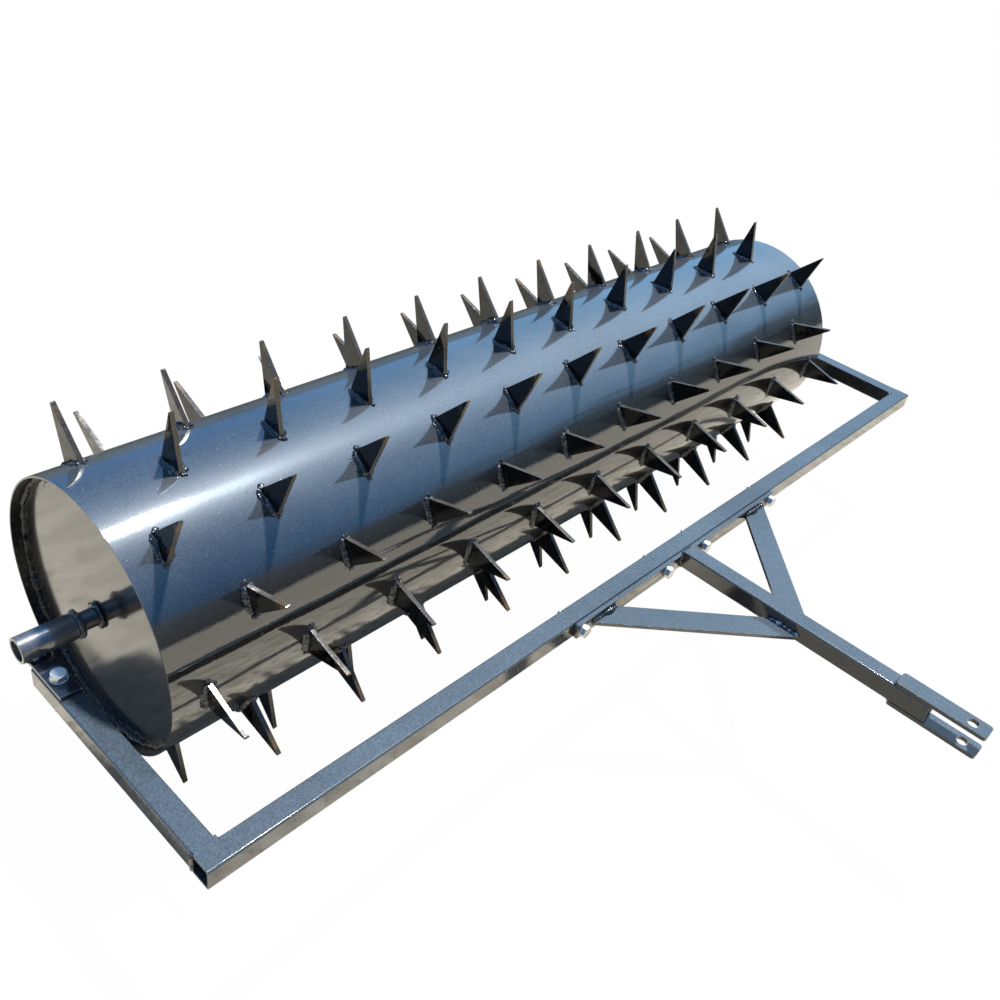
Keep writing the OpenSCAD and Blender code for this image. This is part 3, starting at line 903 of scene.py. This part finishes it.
def weld_sleeve(side, tag):
    """Axle sleeve to its plate; the seams lie where the plate's faces cut the sleeve."""
    low, high = box_of("sleeve_plate_" + tag)
    radius = radius_of("axle_sleeve_" + tag)
    z_front = high[2]
    y_front = AXIS[1] - math.sqrt(max(1e-8, radius * radius - (AXIS[2] - z_front) ** 2))
    y_rear = high[1]
    z_rear = AXIS[2] - math.sqrt(radius * radius - (AXIS[1] - y_rear) ** 2)
    soup = Soup()
    seam(soup, (low[0] + 0.0006, y_front, z_front), (high[0] - 0.0006, y_front, z_front),
         out=(0, -0.75, 0.65), radius=0.0024, seed=141 + side, lumps=5, wobble=0.34)
    seam(soup, (low[0] + 0.001, y_rear, z_rear - 0.0004),
         (high[0] - 0.001, y_rear, z_rear - 0.0004),
         out=(0, 0.8, -0.6), radius=0.0018, seed=151 + side)
    for x, way in ((low[0], -1), (high[0], 1)):
        seam(soup, (x, y_front - 0.0008, z_front - 0.0006),
             (x, y_rear - 0.0004, z_rear + 0.0002),
             out=(way, 0, 0.1), radius=0.0015, seed=161 + side + 7 * way, pitch=0.0026)
    soup.finish("weld_sleeve_" + tag, BARE_WELD)


def weld_brace(side, tag):
    """Brace to drawbar along y, and to mount bar along x, above and below."""
    points = vertices_of("brace_" + tag)
    top, bottom = points[:, 2].max(), points[:, 2].min()
    reach = np.abs(points[:, 0])
    near = reach.min()
    ys = points[np.abs(reach - near) < 0.0004][:, 1]
    y_bar = points[:, 1].max()
    xs = np.abs(points[np.abs(points[:, 1] - y_bar) < 0.0004][:, 0])
    x = side * near
    soup = Soup()
    seam(soup, (x, ys.max() - 0.0005, top), (x, ys.min() + 0.0005, top),
         out=(side, 0, 1), radius=0.0029, seed=171 + side, lumps=9, wobble=0.36)
    soup.finish("weld_gusset_" + tag, BARE_WELD)
    soup = Soup()
    seam(soup, (x, ys.max() - 0.001, bottom), (x, ys.min() + 0.001, bottom),
         out=(side, 0, -1), radius=0.0021, seed=181 + side)
    seam(soup, (side * (xs.min() + 0.0005), y_bar, top),
         (side * (xs.max() - 0.0005), y_bar, top),
         out=(0, -1, 1), radius=0.0033, seed=191 + side, lumps=9, wobble=0.40)
    seam(soup, (side * (xs.min() + 0.001), y_bar, bottom),
         (side * (xs.max() - 0.001), y_bar, bottom),
         out=(0, -1, -1), radius=0.0020, seed=201 + side)
    soup.finish("weld_brace_" + tag, WELD)


def weld_drawbar():
    """Drawbar tube to mount bar, on all four sides."""
    bar_low, bar_high = box_of("mount_bar")
    low, high = box_of("drawbar_tube")
    y = high[1]
    soup = Soup()
    for k, (x, way) in enumerate(((low[0], -1), (high[0], 1))):
        seam(soup, (x, y, max(low[2], bar_low[2]) + 0.0006),
             (x, y, min(high[2], bar_high[2]) - 0.0004),
             out=(way, -1, 0), radius=0.0030, seed=211 + k, lumps=5, wobble=0.36)
    left, right = low[0] + 0.001, high[0] - 0.001
    z = bar_high[2] + 0.0004
    seam(soup, (left, y + 0.0010, z), (right, y + 0.0010, z),
         out=(0, 0.6, 0.8), radius=0.0024, seed=215, lumps=4)
    seam(soup, (left, y, low[2]), (right, y, low[2]),
         out=(0, -1, -1), radius=0.0021, seed=216, lumps=3)
    soup.finish("weld_drawbar", WELD)


def weld_clevis():
    """Rear ends of the clevis straps to the drawbar tube."""
    low, high = box_of("drawbar_tube")
    soup = Soup()
    straps = (("clevis_strap_top", high[2], 1), ("clevis_strap_bottom", low[2], -1))
    for k, (node, z, way) in enumerate(straps):
        y = box_of(node)[1][1]
        seam(soup, (low[0] + 0.0008, y, z), (high[0] - 0.0008, y, z),
             out=(0, 1, way), radius=0.0017, seed=221 + k, lumps=3)
    soup.finish("weld_clevis", WELD)


for row in range(1, SPIKE_ROWS + 1):
    weld_spike_row(row)
for side, tag in SIDES:
    end_rng = np.random.default_rng(90 + side)
    weld_rim(side, tag, end_rng)
    weld_axle(side, tag, end_rng)
for side, tag in SIDES:
    weld_corner(side, tag)
    weld_sleeve(side, tag)
    weld_brace(side, tag)
weld_drawbar()
weld_clevis()


# ---------------------------------------------------------------------- stage

def floor_material():
    """Near-white for the camera; for other rays a patchy ground with a painted shadow of the
    drum behind it.
    """
    m = new_material("studio_floor")
    co = m.coord()

    def patches(vec, scale, detail, rough, span):
        return m.remap(m.noise(vec, scale, detail, rough), span)

    # Blotches, large to small
    tone = m.mix(patches(co, scale=1.6, detail=4.0, rough=0.55, span=(0.35, 0.65)),
                 (0.88, 0.83, 0.72), (0.99, 0.94, 0.82))
    tone = m.mix(patches(co, scale=22.0, detail=5.0, rough=0.68, span=(0.42, 0.60)),
                 tone, (0.66, 0.61, 0.50))
    tone = m.mix(patches(co, scale=70.0, detail=4.0, rough=0.7, span=(0.54, 0.64)),
                 tone, (0.40, 0.36, 0.28))
    x, y, _ = m.split(co)
    # Open patches off the left end
    shifted = m.mapping(co, loc=(0.7, 2.3, 0))
    open_ground = m.mix(patches(shifted, scale=2.6, detail=3.0, rough=0.5, span=(0.40, 0.60)),
                        (0.50, 0.49, 0.33), (1.0, 0.97, 0.90))
    tone = m.mix(m.remap(x, span=(-0.72, -1.15), to=(0.0, 0.75)), tone, open_ground)
    # Painted shadow of the drum on the ground behind it, seen only in reflections, with paler
    # haze beyond it
    rear_shadow_tone = m.mix(m.remap(y, span=(1.7, 4.5)), (0.060, 0.066, 0.050), (0.09, 0.13, 0.15))
    incoming = m.split(m.node("ShaderNodeNewGeometry").outputs["Incoming"])[0]
    behind = m.math("MULTIPLY", m.remap(y, span=(0.90, 1.15)),
                    m.remap(incoming, span=(0.15, -0.10)))
    tone = m.mix(behind, tone, rear_shadow_tone)
    # Dimmer for rays that leave the floor towards +x
    dim = m.math("MULTIPLY", m.remap(incoming, span=(0.30, 0.65)),
                 m.remap(y, span=(0.46, 0.34)))
    dim = m.math("MULTIPLY", dim, m.remap(x, span=(-0.60, -0.45)))
    tone = m.mix(dim, tone, (0.36, 0.34, 0.29))
    seen = m.mix(patches(co, scale=1.1, detail=3.0, rough=0.5, span=(0.35, 0.65)),
                 (0.90, 0.90, 0.895), (0.93, 0.93, 0.925))
    camera_ray = m.node("ShaderNodeLightPath").outputs["Is Camera Ray"]
    relief = m.bump(m.noise(co, scale=150.0, detail=3.0, rough=0.6), 0.0003)
    diffuse = m.node("ShaderNodeBsdfDiffuse", {
        "Color": m.mix(camera_ray, tone, seen), "Normal": relief})
    white = m.node("ShaderNodeEmission", {"Color": (1, 1, 1), "Strength": 1.0})
    surface = m.mix_shader(m.math("MULTIPLY", camera_ray, 0.985), diffuse.outputs[0],
                           white.outputs[0])
    m.put(m.out.inputs["Surface"], surface)
    return m.owner


def reflected_sky(w):
    """Blue-grey dome with a broad glow round the key light and a dark horizon."""
    direction = w.coord("Generated")
    x, y, z = w.split(direction)
    # Dome, brighter to the right
    gain = w.math("ADD", w.remap(x, span=(0.40, 0.78), to=(0.58, 1.10)),
                  w.remap(y, span=(0.0, 0.4), to=(0.0, 0.10)))
    hue = w.mix(w.remap(x, span=(0.42, 0.76)), (0.02, 0.34, 0.96), (0.26, 0.60, 1.02))
    dome = w.mix(1.0, hue, w.grey(gain), "MULTIPLY")
    # Glow: a tight core and a wide bell, stretched along x
    away = w.vector_math("SUBTRACT", direction, GLOW_DIR)
    dist = w.vector_math("LENGTH", w.vector_math("MULTIPLY", away, (0.58, 1.0, 0.58)))
    core = w.math("POWER", w.math("DIVIDE", 0.11, w.math("MAXIMUM", dist, 0.065)), 2.4)
    squared = w.math("POWER", w.math("DIVIDE", dist, 0.42), 2.0)
    wide = w.math("POWER", 2.71828, w.math("MULTIPLY", squared, -1.0))
    glow = w.math("ADD", w.math("MULTIPLY", core, 1.12), w.math("MULTIPLY", wide, 1.15))
    glow = w.math("MULTIPLY", glow, w.remap(z, span=(0.15, 0.5)))
    glow = w.mix(1.0, (0.86, 1.0, 1.12), w.grey(glow), "MULTIPLY")
    sky = w.mix(1.0, dome, glow, "ADD")
    # Dark band over the horizon on the hitch side, with an uneven top
    ragged = w.noise(direction, scale=8.0, detail=6.0, rough=0.65)
    top = w.plus(0.30, w.math("SUBTRACT", ragged, 0.5), 0.42)
    above = w.remap(w.math("SUBTRACT", z, top), span=(-0.07, 0.09), smooth=True)
    band = w.math("MULTIPLY", w.math("SUBTRACT", 1.0, above), w.remap(y, span=(0.05, -0.25)))
    # A lower band on the far side
    back = w.math("MULTIPLY", w.remap(z, span=(0.10, 0.05)), w.remap(y, span=(0.0, 0.2)))
    band = w.math("MAXIMUM", band, back)
    sky = w.mix(band, sky, w.mix(w.remap(x, span=(0.45, 0.72)), (0.14, 0.155, 0.17),
                                 (0.055, 0.085, 0.105)))
    # Ground below the horizon, dark behind to the right
    dark = w.math("MULTIPLY", w.remap(y, span=(0.25, 0.5)), w.remap(x, span=(-0.1, 0.2)))
    return w.mix(w.remap(z, span=(0.035, 0.0)), sky,
                 w.mix(dark, (1.05, 1.03, 0.92), (0.12, 0.17, 0.21)))


def build_world():
    """White for the camera, the sky for reflections, an even soft fill for the rest."""
    world = bpy.data.worlds.new("studio")
    bpy.context.scene.world = world
    w = Nodes(world, "ShaderNodeOutputWorld")

    def background(**inputs):
        return w.node("ShaderNodeBackground", inputs).outputs[0]

    reflected = background(Color=reflected_sky(w))
    fill = background(Color=(0.46, 0.66, 1.0), Strength=0.26)
    white = background(Color=(1.0, 1.0, 1.0))
    ray = w.node("ShaderNodeLightPath").outputs
    lit = w.mix_shader(ray["Is Glossy Ray"], fill, reflected)
    w.put(w.out.inputs["Surface"], w.mix_shader(ray["Is Camera Ray"], lit, white))


def build_floor():
    z = float(CAD_BOX[0][2]) - FLOOR_DROP
    corners = [(x * FLOOR_HALF, y * FLOOR_HALF, z)
               for x, y in ((-1, -1), (1, -1), (1, 1), (-1, 1))]
    floor = new_mesh("studio_floor", corners, [(0, 1, 2, 3)], smooth=False)
    floor.data.materials.append(floor_material())


def build_sun():
    data = bpy.data.lights.new("key_light", "SUN")
    data.energy = SUN_STRENGTH
    data.angle = SUN_ANGLE
    data.color = SUN_COLOR
    sun = bpy.data.objects.new("key_light", data)
    bpy.context.scene.collection.objects.link(sun)
    sun.rotation_euler = SUN_DIR.to_track_quat("Z", "Y").to_euler()


def build_camera():
    data = bpy.data.cameras.new("camera")
    data.lens = CAMERA_LENS_MM
    data.sensor_width = 36.0
    data.clip_start = 0.01
    data.clip_end = 100.0
    camera = bpy.data.objects.new("camera", data)
    bpy.context.scene.collection.objects.link(camera)
    camera.location = Vector(AXIS) + CAMERA_OFFSET
    camera.rotation_euler = CAMERA_TURN
    bpy.context.scene.camera = camera


build_floor()
build_world()
build_sun()
build_camera()
bpy.context.scene.view_settings.view_transform = "Standard"

# -------------------------------------------------------------- end

bpy.context.view_layer.update()
